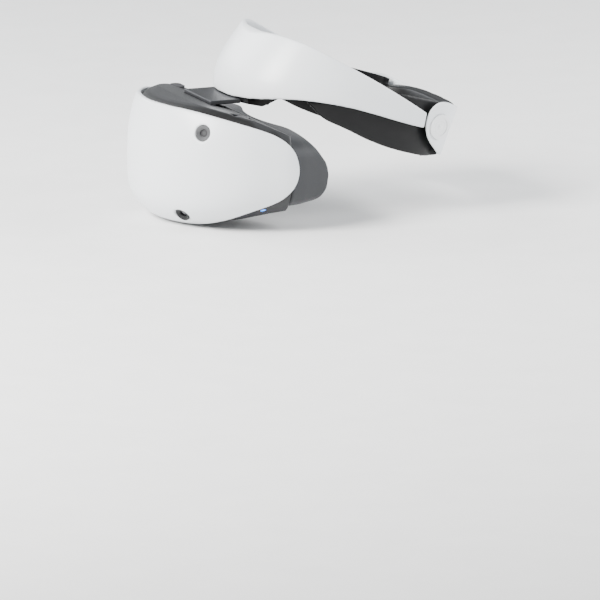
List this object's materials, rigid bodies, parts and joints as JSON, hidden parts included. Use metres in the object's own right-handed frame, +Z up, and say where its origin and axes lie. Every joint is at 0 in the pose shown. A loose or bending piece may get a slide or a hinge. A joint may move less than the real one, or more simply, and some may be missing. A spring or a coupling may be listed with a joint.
{
  "type": "virtual reality headset",
  "caption": "Head-worn display: a white scope on a halo headband, with soft pads, a light shield, a lens-distance dial and a rear dial that lets the band out",
  "frame": {"origin": "centre of the bounding box's underside, which the scope's lowest point touches", "axes": "+Z is up as worn, the wearer looks along -Y, +X is the wearer's left"},
  "size_m": [0.2098, 0.276, 0.1548],
  "materials": {
    "white_shell": "satin white",
    "dark_housing": "fine matt black",
    "black_band": "matt black",
    "vent": "matt black slats",
    "shield_rubber": "soft matt",
    "pad_foam": "ribbed soft foam",
    "black_knob": "matt, knurled edge",
    "rear_dial": "matt, ribbed edge",
    "hub_white": "satin",
    "barrel_black": "matt black",
    "optic_glass": "polished",
    "camera_glass": "polished near black",
    "bezel_grey": "satin grey",
    "display_panel": "glossy black",
    "circuit_board": "solder mask",
    "steel": "ground",
    "frame_grey": "matt grey",
    "gear_plastic": "natural acetal",
    "port_black": "matt black",
    "blue_light": "clear diffusing"
  },
  "bodies": {
    "headband": {"headband_shell": "white_shell", "forehead_frame": "black_band", "forehead_pad": "pad_foam", "scope_bracket": "dark_housing", "slide_rods": "steel"},
    "scope": {"front_shell": "white_shell", "scope_housing": "dark_housing", "top_cover": "dark_housing", "vent_grille": "vent", "chassis": "frame_grey", "slide_carriage": "frame_grey", "lens_panel": "dark_housing", "panel_screws": "steel", "main_board": "circuit_board", "fan_case": "barrel_black", "lens_rod": "steel", "microphone": "barrel_black", "tracking_light": "blue_light", "camera_bezel_upper_left": "bezel_grey", "camera_bezel_upper_right": "bezel_grey", "camera_bezel_lower_left": "bezel_grey", "camera_bezel_lower_right": "bezel_grey", "camera_lens_upper_left": "camera_glass", "camera_lens_upper_right": "camera_glass", "camera_lens_lower_left": "camera_glass", "camera_lens_lower_right": "camera_glass", "camera_module_upper_left": "barrel_black", "camera_module_upper_right": "barrel_black", "camera_module_lower_left": "barrel_black", "camera_module_lower_right": "barrel_black"},
    "fan": {"fan_rotor": "barrel_black"},
    "shield": {"light_shield": "shield_rubber"},
    "lens_dial": {"ipd_dial": "black_knob", "ipd_shaft": "gear_plastic"},
    "scope_release": {"scope_button": "black_knob"},
    "power": {"power_button": "black_knob"},
    "function": {"function_button": "black_knob"},
    "rear_unit": {"rear_band": "black_band", "rear_cap": "white_shell", "rear_pad": "pad_foam", "side_hub_left": "hub_white", "side_hub_right": "hub_white", "earphone_jack": "port_black", "cable_gland": "port_black"},
    "band_dial": {"adjust_dial": "rear_dial", "band_pinion": "gear_plastic"},
    "band_release": {"release_button": "hub_white"},
    "lens_unit_left": {"lens_barrel_left": "barrel_black", "eye_lens_left": "optic_glass", "display_left": "display_panel", "ipd_rack_left": "gear_plastic"},
    "strap_left": {"band_rack_left": "gear_plastic"},
    "lens_unit_right": {"lens_barrel_right": "barrel_black", "eye_lens_right": "optic_glass", "display_right": "display_panel", "ipd_rack_right": "gear_plastic"},
    "strap_right": {"band_rack_right": "gear_plastic"}
  },
  "joints": [
    {"name": "scope_slide", "type": "slide", "parent": "headband", "child": "scope", "axis": [0, -1, 0], "range_m": [0, 0.032]},
    {"name": "lens_dial_turn", "type": "hinge", "parent": "scope", "child": "lens_dial", "pos_m": [0.071, -0.074, 0.09], "axis": [0, 0, 1], "range_deg": [-40.2, 40.2]},
    {"name": "lens_slide_left", "type": "slide", "parent": "scope", "child": "lens_unit_left", "axis": [1, 0, 0], "range_m": [-0.0035, 0.0035]},
    {"name": "lens_slide_right", "type": "slide", "parent": "scope", "child": "lens_unit_right", "axis": [1, 0, 0], "range_m": [-0.0035, 0.0035]},
    {"name": "shield_pull_off", "type": "slide", "parent": "scope", "child": "shield", "axis": [0, 1, 0], "range_m": [0, 0.025]},
    {"name": "fan_spin", "type": "hinge", "parent": "scope", "child": "fan", "pos_m": [0, -0.109, 0.052], "axis": [0, 1, 0], "continuous": true},
    {"name": "scope_button_press", "type": "slide", "parent": "scope", "child": "scope_release", "axis": [0, 0, -1], "range_m": [0, 0.0018], "stiffness_N_per_m": 400, "springref_m": -0.0005},
    {"name": "power_button_press", "type": "slide", "parent": "scope", "child": "power", "axis": [0, 0, 1], "range_m": [0, 0.001], "stiffness_N_per_m": 400, "springref_m": -0.0005},
    {"name": "function_button_press", "type": "slide", "parent": "scope", "child": "function", "axis": [0, 0, 1], "range_m": [0, 0.001], "stiffness_N_per_m": 400, "springref_m": -0.0005},
    {"name": "headband_extend", "type": "slide", "parent": "headband", "child": "rear_unit", "axis": [0, 1, 0], "range_m": [0, 0.035]},
    {"name": "band_dial_turn", "type": "hinge", "parent": "rear_unit", "child": "band_dial", "pos_m": [0, 0.1263, 0.064], "axis": [0, 0.9221, -0.387], "range_deg": [0, 252]},
    {"name": "strap_slide_left", "type": "slide", "parent": "rear_unit", "child": "strap_left", "axis": [1, 0, 0], "range_m": [0, 0.035]},
    {"name": "strap_slide_right", "type": "slide", "parent": "rear_unit", "child": "strap_right", "axis": [-1, 0, 0], "range_m": [0, 0.035]},
    {"name": "release_button_press", "type": "slide", "parent": "rear_unit", "child": "band_release", "axis": [0, -0.9221, 0.387], "range_m": [0, 0.0018], "stiffness_N_per_m": 400, "springref_m": -0.0005}
  ],
  "couplings": [
    {"joint": "lens_dial_turn", "follows": "lens_slide_left", "rad_per_m": -200},
    {"joint": "lens_slide_right", "follows": "lens_slide_left", "ratio": -1},
    {"joint": "band_dial_turn", "follows": "headband_extend", "rad_per_m": 125},
    {"joint": "strap_slide_left", "follows": "headband_extend", "ratio": 1},
    {"joint": "strap_slide_right", "follows": "headband_extend", "ratio": 1}
  ]
}
